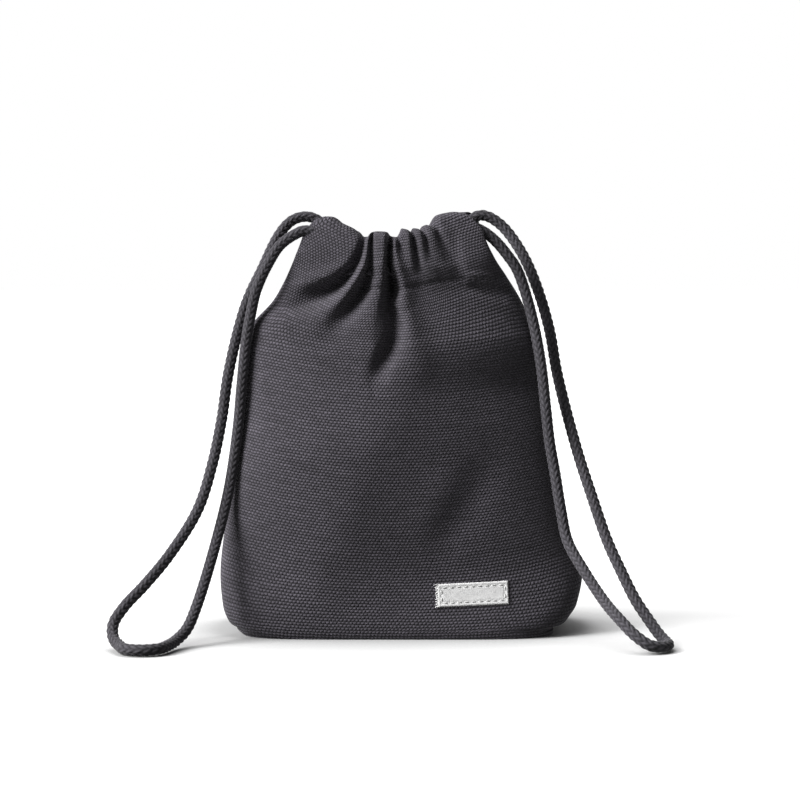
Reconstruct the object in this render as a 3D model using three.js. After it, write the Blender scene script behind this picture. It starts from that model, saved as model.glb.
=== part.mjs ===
// Drawstring treat pouch with two cord loops.
// Millimetres, +Z up, origin on the table under the middle of the base, front towards -Y.
import * as THREE from 'three';

// Cloth and cord
const CANVAS = 1.0;
const LINING = 0.6;
const LAYER_GAP = 0.4;
const SEAM_GAP = 0.3;
const CORD_DIAMETER = 4.0;
const CORD_CLEARANCE = 0.4;

// Body: full widths and depths, and the heights that they are at
const BASE_WIDTH = 122.6;
const BASE_DEPTH = 60;
const BELLY_HEIGHT = 22;
const BELLY_WIDTH = 140.2;
const BELLY_DEPTH = 64;
const WAIST_HEIGHT = 69;
const WAIST_WIDTH = 124;
const WAIST_DEPTH = 62;
const SHOULDER_HEIGHT = 115;
const SHOULDER_WIDTH = 110.6;
const SHOULDER_DEPTH = 43;
const STITCH_HEIGHT = 136.5;
const STITCH_WIDTH = 85.2;
const UPPER_LEAN = 2.5; // how far the upper part stands to the left of the base's middle

// How square the body's outline is: 2 is an ellipse
const BASE_SQUARENESS = 5;
const WAIST_SQUARENESS = 2.8;
const STITCH_SQUARENESS = 2.6;

// A soft crest that runs down the front, from the neck to the left of the base
const CREST_BASE_X = -36;
const CREST_TOP_X = -4;
const CREST_TOP_HEIGHT = 92;
const CREST_LEFT_FALL = 0.17; // how steeply the cloth falls away on the left of it
const CREST_RIGHT_FALL = 0.14;
const CREST_ROUND = 9;
const CREST_FULL_LOW = 30; // it has its full fall from here up to the next height
const CREST_FULL_HIGH = 68;

// Casing round the mouth
const CASING_HEIGHT = 25.5;
const CASING_RISE = 4.5; // above this height the casing has its full thickness
const CASING_CORNER = 3.2;
const RIM_WIDTH = 69;
const FRONT_RIM_DIP = 9;
const BACK_RIM_DIP = 7;
const FRONT_RIM_LEAN = 0.12; // share of the half width by which the front's dip stands to the left
const MOUTH_GAP = 10;
const END_CUT = 9; // the casing's inner cloth stops this much short of the outer cloth
const NECK_HEIGHT = 16; // from the stitch line up to where the casing is as narrow as its rim

// Gathers
const PLEATS = 4;
const PLEAT_DEPTH = 3;
const GATHER_WIDTH = 50;
const GATHER_HEIGHT = 88; // the pleats fade out at this height

// Cord places
const EXIT_RISE = 19.3; // from the stitch line
const STRAND_STEP = 5.4; // the back strand leaves this much above the front one
const CROSSING_RISE = 8; // from the stitch line
const CROSSING_BEND = 4.5;
const CROSSING_CLEARANCE = 2; // from the end of the casing's inner cloth
const CORD_REACH = 1.5; // a run stands this far out of the casing
const CORD_LEAD = 1.5; // a loop or a crossing starts this far along its run's line

// Label
const LABEL_WIDTH = 27;
const LABEL_HEIGHT = 8.4;
const LABEL_THICKNESS = 0.6;
const LABEL_X = 27.2;
const LABEL_Z = 16.8;
const LABEL_TILT = 2; // degrees

// Facets
const PANEL_COLUMNS = 32;
const LINING_COLUMNS = 18;
const WALL_ROWS = 9;
const EDGE_ROWS = 4;
const CASING_COLUMNS = 30;
const CORNER_STEPS = 3;
const CORD_SIDES = 10;
const LOOP_STEPS = 40;
const CROSSING_STEPS = 12;
const LABEL_COLUMNS = 8;

// Loop routes from the back strand's exit to the front strand's exit
const LEFT_LOOP = [
  [-43.2, 12.6, 158.9], [-46.4, 11.9, 156], [-49.2, 10.5, 151.8], [-54.4, 6, 139.7], [-59.9, 1.5, 127.6],
  [-63.3, -2, 116], [-66.9, -7, 98.8], [-69.1, -12, 81.7], [-72.3, -18, 64.9], [-77.3, -25, 48.3],
  [-87.1, -34, 32.3], [-95.7, -41, 21.9], [-102.6, -47, 14.6], [-106.1, -51, 8.9], [-105.6, -55.5, 4.5],
  [-102.4, -62, 2.6], [-97.8, -69.5, 2.4], [-92.8, -72.5, 2.4], [-88.4, -69.5, 2.4], [-85.3, -61.5, 2.5],
  [-82.8, -54, 3.2], [-79.5, -48, 6.3], [-76.6, -41, 13.3], [-70.9, -28, 33.5], [-65.8, -18.5, 56.1],
  [-62.5, -16, 79.3], [-61.2, -13.8, 95], [-59.8, -11, 110.6], [-57.9, -10, 122], [-55.4, -11.2, 132.3],
  [-50.6, -12.6, 142.6], [-46.4, -13, 148.6],
];
const RIGHT_LOOP = [
  [38.4, 8.2, 158.2], [41, 7.4, 155.2], [43.2, 6.4, 151.8], [48.4, 2.8, 142.7], [53.3, -1, 130.3],
  [57.2, -4, 116.1], [60.1, -8, 98.8], [67.1, -16, 70.4], [72.2, -22, 53.7], [77.5, -29, 37.4],
  [82.2, -34, 26.6], [87.3, -39.5, 16.1], [91.5, -44, 9.7], [95.4, -49, 4.8], [97.9, -55.5, 2.6],
  [97.7, -62, 2.4], [93.6, -65.5, 2.5], [89.3, -61, 3.6], [84.9, -53.5, 6.7], [79.5, -46.5, 11.5],
  [75.2, -41, 16.3], [68.5, -31.5, 26.3], [62.8, -25.5, 36.8], [60.6, -22.8, 47.8], [58.4, -20, 62.2],
  [56.5, -18.8, 73.2], [54.9, -17.5, 87.7], [53.4, -15.2, 102.2], [51.1, -12, 116.3], [47.9, -10, 129.3],
  [44.2, -9.6, 139.6], [40.6, -9.2, 146],
];

// Sizes that follow from the ones above
const SEAM_STACK = CANVAS + LAYER_GAP + LINING;
const CORD_RADIUS = CORD_DIAMETER / 2;
const CHANNEL_DEPTH = 2 * CORD_DIAMETER + 3 * CORD_CLEARANCE;
const CASING_THICKNESS = CHANNEL_DEPTH + 2 * CANVAS;
const CASING_MIDDLE = MOUTH_GAP / 2 + CASING_THICKNESS / 2;
const STITCH_DEPTH = 2 * CASING_MIDDLE + SEAM_STACK;
const CORD_OFFSET = (CORD_DIAMETER + CORD_CLEARANCE) / 2;
const EXIT_HEIGHT = STITCH_HEIGHT + EXIT_RISE;
const CROSSING_HEIGHT = STITCH_HEIGHT + CROSSING_RISE;

const canvasMaterial = new THREE.MeshStandardMaterial({ color: 0x3a373f, roughness: 0.95 });
const liningMaterial = new THREE.MeshStandardMaterial({ color: 0x2c2a30, roughness: 0.8 });
const cordMaterial = new THREE.MeshStandardMaterial({ color: 0x3f3c45, roughness: 0.9 });
const labelMaterial = new THREE.MeshStandardMaterial({ color: 0xf2f0ec, roughness: 0.9 });

const { clamp, lerp, smoothstep } = THREE.MathUtils;

// Body outline

function throughStations(heights, values) {
  const curve = new THREE.CubicInterpolant(heights, values, 1);
  return (height) => curve.evaluate(height)[0];
}

const STATIONS = [BELLY_HEIGHT, WAIST_HEIGHT, SHOULDER_HEIGHT, STITCH_HEIGHT];
const wallWidth = throughStations(STATIONS, [BELLY_WIDTH, WAIST_WIDTH, SHOULDER_WIDTH, STITCH_WIDTH]);
const wallDepth = throughStations(STATIONS, [BELLY_DEPTH, WAIST_DEPTH, SHOULDER_DEPTH, STITCH_DEPTH]);
const squareness = throughStations(
  [0, WAIST_HEIGHT, STITCH_HEIGHT],
  [BASE_SQUARENESS, WAIST_SQUARENESS, STITCH_SQUARENESS],
);

// The base's edge is a quarter of an ellipse from the base up to the belly.
function edgeShare(height) {
  const drop = 1 - height / BELLY_HEIGHT;
  return Math.sqrt(1 - drop * drop);
}

function halfWidth(height) {
  if (height < BELLY_HEIGHT) return lerp(BASE_WIDTH, BELLY_WIDTH, edgeShare(height)) / 2;
  return wallWidth(height) / 2;
}

function halfDepth(height) {
  if (height < BELLY_HEIGHT) return lerp(BASE_DEPTH, BELLY_DEPTH, edgeShare(height)) / 2;
  return wallDepth(height) / 2;
}

function middleX(height) {
  return -UPPER_LEAN * smoothstep(height, BELLY_HEIGHT, WAIST_HEIGHT);
}

// Share of the half depth at s, which runs from the left seam, -1, to the right seam, 1.
function roundedShare(s, power) {
  return (1 - Math.min(1, Math.abs(s)) ** power) ** (1 / power);
}

function pleat(s, height) {
  const across = (s * STITCH_WIDTH) / GATHER_WIDTH;
  if (Math.abs(across) >= 1) return 0;
  const ridge = Math.sin((Math.PI * PLEATS * (across + 1)) / 2) ** 2;
  return PLEAT_DEPTH * ridge * (1 - across * across) * smoothstep(height, GATHER_HEIGHT, STITCH_HEIGHT);
}

// How far the front's cloth lies behind its crest.
function crestFall(x, height) {
  const crest = lerp(CREST_BASE_X, CREST_TOP_X, Math.min(1, height / CREST_TOP_HEIGHT));
  const beyond = (far) => (far + Math.hypot(far, CREST_ROUND) - CREST_ROUND) / 2;
  const fall = CREST_LEFT_FALL * beyond(crest - x) + CREST_RIGHT_FALL * beyond(x - crest);
  const fade = smoothstep(height, 0, CREST_FULL_LOW) * (1 - smoothstep(height, CREST_FULL_HIGH, SHOULDER_HEIGHT));
  return Math.max(0, fall) * fade;
}

// A point of the cloth, inset from the outer face. Spread 0 is on the seam under the base.
function bodyPoint(side, s, height, inset, spread, pleated) {
  const x = middleX(height) + s * (halfWidth(height) - inset);
  const behind = side < 0 ? crestFall(x, height) : 0;
  const depth = (halfDepth(height) - behind - inset) * roundedShare(s, squareness(height));
  const fold = pleated ? pleat(s, height) : 0;
  const lift = Math.max(0, inset * (1 - height / BELLY_HEIGHT));
  return new THREE.Vector3(
    x,
    side * Math.max(SEAM_GAP / 2, spread * (depth + fold)),
    height + lift,
  );
}

// Meshes

// One closed geometry from triangles of points. Triangles that have shrunk to a line are left out.
function closedGeometry(triangles) {
  const flat = 1e-6;
  const kept = triangles.filter(([a, b, c]) => {
    return a.distanceTo(b) > flat && b.distanceTo(c) > flat && c.distanceTo(a) > flat;
  });
  const volume = kept.reduce((sum, [a, b, c]) => sum + a.dot(b.clone().cross(c)), 0);
  const facing = kept.map(([a, b, c]) => (volume > 0 ? [a, b, c] : [a, c, b]));
  return new THREE.BufferGeometry().setFromPoints(facing.flat());
}

function addQuad(triangles, a, b, c, d) {
  triangles.push([a, b, c], [a, c, d]);
}

// A sheet of cloth between two grids of points with the same rows and columns.
function sheetGeometry(outer, inner) {
  const triangles = [];
  const lastRow = outer.length - 1;
  const end = outer[0].length - 1;
  for (let r = 0; r < lastRow; r++) {
    for (let c = 0; c < end; c++) {
      addQuad(triangles, outer[r][c], outer[r][c + 1], outer[r + 1][c + 1], outer[r + 1][c]);
      addQuad(triangles, inner[r][c], inner[r + 1][c], inner[r + 1][c + 1], inner[r][c + 1]);
    }
    addQuad(triangles, outer[r][0], outer[r + 1][0], inner[r + 1][0], inner[r][0]);
    addQuad(triangles, outer[r + 1][end], outer[r][end], inner[r][end], inner[r + 1][end]);
  }
  for (let c = 0; c < end; c++) {
    addQuad(triangles, outer[0][c + 1], outer[0][c], inner[0][c], inner[0][c + 1]);
    addQuad(triangles, outer[lastRow][c], outer[lastRow][c + 1], inner[lastRow][c + 1], inner[lastRow][c]);
  }
  return closedGeometry(triangles);
}

// A tube between two stacks of closed loops of points, open at both ends.
function sleeveGeometry(outer, inner) {
  const triangles = [];
  const count = outer[0].length;
  const last = outer.length - 1;
  for (let p = 0; p < count; p++) {
    const q = (p + 1) % count;
    for (let i = 0; i < last; i++) {
      addQuad(triangles, outer[i][p], outer[i][q], outer[i + 1][q], outer[i + 1][p]);
      addQuad(triangles, inner[i][p], inner[i + 1][p], inner[i + 1][q], inner[i][q]);
    }
    addQuad(triangles, outer[0][q], outer[0][p], inner[0][p], inner[0][q]);
    addQuad(triangles, outer[last][p], outer[last][q], inner[last][q], inner[last][p]);
  }
  return closedGeometry(triangles);
}

function cordGeometry(points, steps) {
  const section = new THREE.Shape();
  for (let i = 0; i < CORD_SIDES; i++) {
    const angle = (2 * Math.PI * i) / CORD_SIDES;
    const corner = [CORD_RADIUS * Math.cos(angle), CORD_RADIUS * Math.sin(angle)];
    if (i === 0) section.moveTo(...corner);
    else section.lineTo(...corner);
  }
  const extrudePath = new THREE.CatmullRomCurve3(points);
  return new THREE.ExtrudeGeometry(section, { steps, extrudePath });
}

const pouch = new THREE.Group();

function addPiece(name, geometry, material) {
  const mesh = new THREE.Mesh(geometry, material);
  mesh.name = name;
  pouch.add(mesh);
}

// Columns are closer together at the side seams, where the cloth turns.
function columnShares(count) {
  return Array.from({ length: count + 1 }, (_, i) => Math.sin(Math.PI * (i / count - 0.5)));
}

// Outer cloth and lining

const CLOTH_ROWS = [{ height: 0, spread: 0 }, { height: 0, spread: 0.5 }, { height: 0, spread: 1 }];
for (let i = 1; i <= EDGE_ROWS; i++) {
  CLOTH_ROWS.push({ height: BELLY_HEIGHT * (1 - Math.cos((Math.PI * i) / (2 * EDGE_ROWS))), spread: 1 });
}
for (let i = 1; i <= WALL_ROWS; i++) {
  CLOTH_ROWS.push({ height: lerp(BELLY_HEIGHT, STITCH_HEIGHT - SEAM_GAP / 2, i / WALL_ROWS), spread: 1 });
}

function clothGeometry(side, inset, thickness, columns, pleated) {
  const grid = (depth) => CLOTH_ROWS.map(({ height, spread }) => {
    return columnShares(columns).map((s) => bodyPoint(side, s, height, depth, spread, pleated));
  });
  return sheetGeometry(grid(inset), grid(inset + thickness));
}

// Casing

function casingHalfWidth(up) {
  return lerp(STITCH_WIDTH, RIM_WIDTH, Math.sin((Math.PI / 2) * Math.min(1, up / NECK_HEIGHT))) / 2;
}

function rimHeight(side, s) {
  if (side > 0) return CASING_HEIGHT - BACK_RIM_DIP * Math.cos((Math.PI / 2) * s) ** 2;
  return CASING_HEIGHT - FRONT_RIM_DIP * Math.cos((Math.PI / 2) * (s + FRONT_RIM_LEAN)) ** 2;
}

// Points round the casing's section: across is away from the mouth, up is above the stitch line.
function casingSection(side, s, inset) {
  const half = CASING_THICKNESS / 2 - inset;
  const corner = CASING_CORNER - inset;
  const bottom = SEAM_GAP / 2 + inset;
  const pinch = Math.max(0, SEAM_STACK / 2 - inset);
  const top = rimHeight(side, s) - inset;
  const points = [{ across: pinch, up: bottom }, { across: half, up: CASING_RISE }];
  for (let i = 0; i <= CORNER_STEPS; i++) {
    const angle = (Math.PI * i) / (2 * CORNER_STEPS);
    const across = half - corner * (1 - Math.cos(angle));
    points.push({ across, up: top - corner * (1 - Math.sin(angle)) });
  }
  const mouthSide = points.map(({ across, up }) => ({ across: -across, up })).reverse();
  return [...points, ...mouthSide];
}

function casingPoint(side, s, { across, up }) {
  const rise = Math.min(1, up / CASING_RISE);
  const seamMiddle = Math.max(
    (SEAM_STACK + SEAM_GAP) / 2,
    halfDepth(STITCH_HEIGHT) * roundedShare(s, STITCH_SQUARENESS) - SEAM_STACK / 2,
  );
  const middle = lerp(seamMiddle, CASING_MIDDLE, rise);
  const outside = across > 0 ? 1 : 1 - rise;
  const cut = END_CUT * rise * clamp(0.5 - across / CHANNEL_DEPTH, 0, 1);
  return new THREE.Vector3(
    middleX(STITCH_HEIGHT) + s * (casingHalfWidth(up) - cut),
    side * (middle + across + outside * pleat(s, STITCH_HEIGHT)),
    STITCH_HEIGHT + up,
  );
}

function casingGeometry(side) {
  const shares = Array.from({ length: CASING_COLUMNS + 1 }, (_, i) => (2 * i) / CASING_COLUMNS - 1);
  const loops = (inset) => shares.map((s) => {
    return casingSection(side, s, inset).map((place) => casingPoint(side, s, place));
  });
  return sleeveGeometry(loops(0), loops(CANVAS));
}

// Drawcords: way is -1 for the cord that leaves on the left and 1 for the one that leaves on the right.

function runEnds(way, side) {
  const y = side * (CASING_MIDDLE - way * CORD_OFFSET);
  const neck = middleX(STITCH_HEIGHT);
  const mouthEnd = casingHalfWidth(CROSSING_HEIGHT - CORD_RADIUS - STITCH_HEIGHT) - END_CUT;
  const crossingX = neck - way * (mouthEnd + CORD_RADIUS + CROSSING_CLEARANCE);
  const insideX = crossingX + way * (CROSSING_BEND + SEAM_GAP + CORD_LEAD);
  const inside = new THREE.Vector3(insideX, y, CROSSING_HEIGHT);
  const exit = new THREE.Vector3(neck + (way * RIM_WIDTH) / 2, y, EXIT_HEIGHT + (side * STRAND_STEP) / 2);
  const along = exit.clone().sub(inside).normalize();
  const outside = exit.clone().addScaledVector(along, CORD_REACH);
  return { inside, outside, along };
}

// The two points that carry on a run's line from one of its ends.
function leadPoints(end, along) {
  return [SEAM_GAP, SEAM_GAP + CORD_LEAD].map((far) => end.clone().addScaledVector(along, far));
}

// From a run's inner end through a quarter turn towards the mouth.
function bendPoints(side, way, run) {
  const points = leadPoints(run.inside, run.along.clone().negate());
  const start = points.at(-1);
  for (let i = 1; i <= CORNER_STEPS; i++) {
    const angle = (Math.PI * i) / (2 * CORNER_STEPS);
    const x = start.x - way * CROSSING_BEND * Math.sin(angle);
    const y = start.y - side * CROSSING_BEND * (1 - Math.cos(angle));
    points.push(new THREE.Vector3(x, y, start.z));
  }
  return points;
}

function addDrawcord(name, way, route) {
  const front = runEnds(way, -1);
  const back = runEnds(way, 1);
  for (const [side, run] of [['front', front], ['back', back]]) {
    addPiece(`${name}_${side}_run`, cordGeometry([run.inside, run.outside], 1), cordMaterial);
  }
  const loop = [
    ...leadPoints(back.outside, back.along),
    ...route.map((point) => new THREE.Vector3(...point)),
    ...leadPoints(front.outside, front.along).reverse(),
  ];
  addPiece(`${name}_loop`, cordGeometry(loop, LOOP_STEPS), cordMaterial);

  const crossing = [...bendPoints(1, way, back), ...bendPoints(-1, way, front).reverse()];
  addPiece(`${name}_crossing`, cordGeometry(crossing, CROSSING_STEPS), cordMaterial);
}

// Label: it follows the front's curve.

function labelGeometry() {
  const tilt = THREE.MathUtils.degToRad(LABEL_TILT);
  const face = (inset) => [-0.5, 0.5].map((row) => {
    return Array.from({ length: LABEL_COLUMNS + 1 }, (_, i) => {
      const across = LABEL_WIDTH * (i / LABEL_COLUMNS - 0.5);
      const up = LABEL_HEIGHT * row;
      const x = LABEL_X + across * Math.cos(tilt) - up * Math.sin(tilt);
      const z = LABEL_Z + across * Math.sin(tilt) + up * Math.cos(tilt);
      const s = (x - middleX(z)) / (halfWidth(z) - inset);
      return bodyPoint(-1, s, z, inset, 1, false);
    });
  });
  return sheetGeometry(face(-SEAM_GAP - LABEL_THICKNESS), face(-SEAM_GAP));
}

const LINING_INSET = CANVAS + LAYER_GAP;
for (const [name, side] of [['front', -1], ['back', 1]]) {
  const outerCloth = clothGeometry(side, 0, CANVAS, PANEL_COLUMNS, true);
  const innerCloth = clothGeometry(side, LINING_INSET, LINING, LINING_COLUMNS, false);
  addPiece(`${name}_panel`, outerCloth, canvasMaterial);
  addPiece(`${name}_lining`, innerCloth, liningMaterial);
  addPiece(`${name}_casing`, casingGeometry(side), canvasMaterial);
}
addPiece('label', labelGeometry(), labelMaterial);
addDrawcord('left_drawcord', -1, LEFT_LOOP);
addDrawcord('right_drawcord', 1, RIGHT_LOOP);

export default pouch;
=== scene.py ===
"""Looks of a small drawstring treat pouch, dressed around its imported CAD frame.

Metres, +Z up, front towards -Y. Cord routes are in metres. Cloth sizes are in millimetres, and are scaled
when a mesh is made.
"""
import math

import bpy
import numpy as np
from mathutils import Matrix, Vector


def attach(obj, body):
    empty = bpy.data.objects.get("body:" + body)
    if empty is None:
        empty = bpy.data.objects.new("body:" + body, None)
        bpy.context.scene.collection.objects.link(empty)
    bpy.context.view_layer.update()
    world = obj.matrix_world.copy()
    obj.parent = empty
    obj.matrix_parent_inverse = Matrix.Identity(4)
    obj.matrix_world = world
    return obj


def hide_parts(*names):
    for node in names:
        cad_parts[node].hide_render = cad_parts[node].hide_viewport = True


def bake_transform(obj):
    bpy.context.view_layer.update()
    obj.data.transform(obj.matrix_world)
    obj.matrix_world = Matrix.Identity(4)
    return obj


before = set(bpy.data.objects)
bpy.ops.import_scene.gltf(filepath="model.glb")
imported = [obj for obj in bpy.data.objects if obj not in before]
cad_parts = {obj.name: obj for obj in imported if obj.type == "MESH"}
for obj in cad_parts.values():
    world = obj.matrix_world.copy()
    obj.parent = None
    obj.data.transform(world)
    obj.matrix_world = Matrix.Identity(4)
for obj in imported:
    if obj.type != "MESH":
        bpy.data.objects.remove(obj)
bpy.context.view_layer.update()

MM = 0.001
FRONT = -1
BACK = 1

# Camera
LENS = 100
SENSOR = 36
CAMERA_TARGET = Vector((-0.0006, 0, 0.08875))
CAMERA_DISTANCE = 0.8647
CAMERA_ELEVATION = math.radians(3)

# Cords, in metres
CORD_HIDDEN = 0.018  # how far a cord runs on inside the casing
BACK_HIDDEN_DROPS = (0.0054, 0.0027)  # below the run's line, at the hidden end and half way to it
FRONT_HIDDEN_DROPS = (0.0045, 0.001)
CORD_STEP = 0.00036
CORD_SIDES = 40
CORD_PATH_STEP = 0.002  # between the points of a cord's resampled path
BRAID_STRANDS = 8  # in each direction
BRAID_PITCH = 0.0026
BRAID_DEPTH = 0.0007
CORD_CREST = 0.0022  # radius over the strands
STRAND_NARROWING = 1.9  # how sharply a strand rounds off towards its edges
STRAND_LOW = 0.62  # height of a strand half way between over and under
RUN_INNER_Z = 0.1445
LEFT_EXITS = ((-0.0355, 0.0128, 0.16), (-0.037, -0.0082, 0.1543))
LEFT_RUN_INNER_X = 0.0243
RIGHT_EXITS = ((0.0305, 0.0084, 0.1606), (0.027, -0.0084, 0.1556))
RIGHT_RUN_INNER_X = -0.0293
LEFT_LOOP = [
    (-0.0395, 0.0128, 0.1601), (-0.0429, 0.0126, 0.1588), (-0.0453, 0.0123, 0.1568),
    (-0.0473, 0.0118, 0.1543), (-0.0497, 0.0107, 0.1503), (-0.0544, 0.006, 0.1397),
    (-0.0599, 0.0015, 0.1276), (-0.0633, -0.002, 0.116), (-0.0669, -0.007, 0.0988),
    (-0.0691, -0.012, 0.0817), (-0.0723, -0.018, 0.0649), (-0.0773, -0.025, 0.0483),
    (-0.0871, -0.034, 0.0323), (-0.0957, -0.041, 0.0219), (-0.1026, -0.047, 0.0146),
    (-0.1061, -0.051, 0.0089), (-0.1056, -0.0555, 0.0045), (-0.1024, -0.062, 0.0026),
    (-0.0998, -0.068, 0.0024), (-0.0938, -0.0706, 0.0024), (-0.0878, -0.068, 0.0024),
    (-0.0853, -0.062, 0.0025), (-0.0828, -0.054, 0.0032), (-0.0795, -0.048, 0.0063),
    (-0.0766, -0.041, 0.0133), (-0.0709, -0.028, 0.0335), (-0.0658, -0.0185, 0.0561),
    (-0.0625, -0.016, 0.0793), (-0.0612, -0.0138, 0.095), (-0.0598, -0.011, 0.1106),
    (-0.0579, -0.01, 0.122), (-0.0554, -0.0104, 0.1323), (-0.0506, -0.0098, 0.1426),
    (-0.0464, -0.0088, 0.1489), (-0.0406, -0.0084, 0.153),
]
RIGHT_LOOP = [
    (0.0342, 0.0083, 0.16), (0.0371, 0.008, 0.1583), (0.0397, 0.0075, 0.1561),
    (0.0432, 0.0062, 0.1518), (0.0484, 0.0028, 0.1429), (0.0533, -0.001, 0.1303),
    (0.0572, -0.004, 0.1161), (0.0601, -0.008, 0.0988), (0.0671, -0.016, 0.0704),
    (0.0722, -0.022, 0.0537), (0.0775, -0.029, 0.0374), (0.0822, -0.034, 0.0266),
    (0.0873, -0.0395, 0.0161), (0.0915, -0.0435, 0.0097), (0.095, -0.0483, 0.0048),
    (0.0972, -0.0535, 0.0026), (0.0972, -0.059, 0.0024), (0.0945, -0.0636, 0.0025),
    (0.0897, -0.0658, 0.0034), (0.0847, -0.0643, 0.0066), (0.0797, -0.0585, 0.0114),
    (0.0752, -0.0485, 0.0163), (0.0685, -0.0355, 0.0263), (0.0628, -0.0265, 0.0368),
    (0.0606, -0.0228, 0.0478), (0.0584, -0.02, 0.0622), (0.0565, -0.0188, 0.0732),
    (0.0549, -0.0175, 0.0877), (0.0534, -0.0152, 0.1022), (0.0511, -0.012, 0.1163),
    (0.0479, -0.01, 0.1293), (0.0442, -0.0096, 0.1396), (0.0406, -0.0094, 0.1449),
    (0.0368, -0.0091, 0.1495), (0.0335, -0.0088, 0.1525), (0.0304, -0.0086, 0.1545),
]
CROSSING_Z = 0.144
CROSSING_BEND = 0.0045
CROSSING_REACH = 0.003  # how far a crossing runs back into the casings
CROSSING_RISE = 0.0015  # how far it rises there
LEFT_CROSSING_X = 0.0306
RIGHT_CROSSING_X = -0.0356

# Cloth outline, in millimetres: (height, place across) of the side seams
LEFT_SEAM = [
    (0, -61.3), (4.6, -66.6), (10.5, -69), (22, -70.1), (42, -68.1), (59, -65.3), (89, -62.1),
    (105, -60.6), (117, -58.4), (127.6, -49.7), (136.3, -44.6), (144, -41), (152, -38), (157, -36.6),
    (164, -35.4),
]
RIGHT_SEAM = [
    (0, 58.4), (2.6, 59.2), (3.8, 62.4), (6.4, 64.8), (11, 67.8), (22, 70.1), (34, 66.2), (52, 61.8),
    (69, 59), (89, 56.6), (108, 54.2), (127.6, 46.4), (136.3, 40.9), (144, 35.6), (152, 31.8),
    (157, 30.6), (164, 29.2),
]
# (height, half depth), and (height, how square the section is) for the back and for each half of the front
HALF_DEPTH = [
    (0, 32.2), (2, 32.8), (5, 33), (10.5, 32.8), (22, 32.4), (47, 32), (69, 31), (80, 29.6),
    (92, 27.4), (104, 24.6), (115, 21.2), (126, 17.8), (133, 16.3), (137, 16.3), (142, 16.8),
    (164, 16.2),
]
BACK_SQUARENESS = [(0, 5), (22, 4), (69, 2.8), (136.5, 2.6), (150, 5), (164, 5)]
LEFT_SQUARENESS = [(0, 5), (22, 4.6), (69, 4.2), (100, 3.6), (115, 3), (136.5, 2.8), (150, 5), (164, 5)]
RIGHT_SQUARENESS = [(0, 5), (22, 4.2), (69, 3.4), (100, 2.8), (115, 2.6), (136.5, 2.6), (150, 5), (164, 5)]
# A soft crest runs down the front: (height, across), and how steeply the cloth falls away on each side of it
CREST = [(0, -36), (30, -27), (50, -20), (69, -13), (88, -5), (100, -4), (115, -6), (164, -8)]
CREST_LEFT_FALL = [(0, 0.17), (90, 0.17), (110, 0.14), (164, 0.14)]
CREST_RIGHT_FALL = [(0, 0.1), (45, 0.14), (75, 0.21), (100, 0.28), (164, 0.28)]
CREST_ROUND = 9
CREST_FADE_IN = (0, 30)  # heights between which the falls come in at the base, and go out at the neck
CREST_LEFT_FADE_OUT = (100, 132)
CREST_RIGHT_FADE_OUT = (92, 116)
CASING_LEAN = 0.24  # how steeply the casing leans back towards the mouth
CASING_FALL = 0.17  # how steeply the front casing falls away on its left
CASING_FALL_X = -14
CASING_FALL_FADE_IN = (134, 142)
CASING_LEAN_LOW = 140.5  # height from which the casing leans back
# (height, half the gap between front and back at a seam)
SEAM_GAP = [(0, 0.15), (132, 0.15), (140, 6), (148, 11), (164, 12)]
# (across, height) of the folded rim
RIM = [
    (-37.5, 156.4), (-35.6, 158.6), (-33.2, 159.8), (-30.6, 159.7), (-26, 157.4), (-20.4, 155.2),
    (-17.4, 153.4), (-15, 151.9), (-13.4, 152.2), (-12.2, 153.6), (-10.4, 154), (-7.2, 153.9),
    (-5.6, 153.6), (-4.2, 152.2), (-1.9, 151.8), (-0.6, 153.4), (0.4, 155.1), (3, 154.6), (4.1, 153.9),
    (5.4, 155.2), (7.4, 155), (8.4, 154.4), (9.4, 155.9), (11.4, 156.5), (12.4, 156.1), (14.2, 158),
    (16.2, 160.2), (19.6, 161), (24, 161.5), (28, 161), (31, 157.5),
]
BACK_RIM = [
    (-37.5, 159.4), (-33, 159.8), (-29, 158.6), (-23, 154.8), (-19, 154.6), (-15, 152), (-9, 153.4),
    (-2.8, 151.2), (3.4, 153.8), (10, 153), (16, 157.4), (21.5, 160.2), (26, 161.8), (31, 162),
]
MOUTH_LEVEL = 156.0  # height at which the mouth's width is taken
BASE_EDGE = 22  # height at which the base's rounded edge ends
BASE_SEAM_SHORT = 0.03  # share by which the seam under the base stops short of its ends
BASE_SEAM_HEIGHT = 2.8
BASE_SEAM_WIDTH = 0.8
BASE_SEAM_PINCH = 1.1
BASE_SEAM_ENDS = (0.88, 0.96)  # shares across between which that pinch comes in
SIDE_SEAM_WIDTH = 1.3
SIDE_SEAM_PINCH = 0.8
SIDE_SEAM_FADE_OUT = (128, 134)  # heights between which that pinch ends, at the slits
SEAM_POWER = 8  # folds fade out towards the side seams by this power of the share across
LEAST_REACH = 1.2  # how far the cloth stands out beyond the gap at a seam
LEAST_DEPTH = 0.15  # of any cloth from the plane between front and back
STITCH_HEIGHT = 136.5
RIM_ROUND = 3.4
MOUTH_HALF = 5
CASING_RISE = 7
END_CUT = 9
CLOTH_THICKNESS = 0.9
LINING_INSET = 2
LINING_NECK = 6  # depth of the lining just above the stitch line, and how fast it widens below
LINING_TAPER = 0.9

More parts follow.
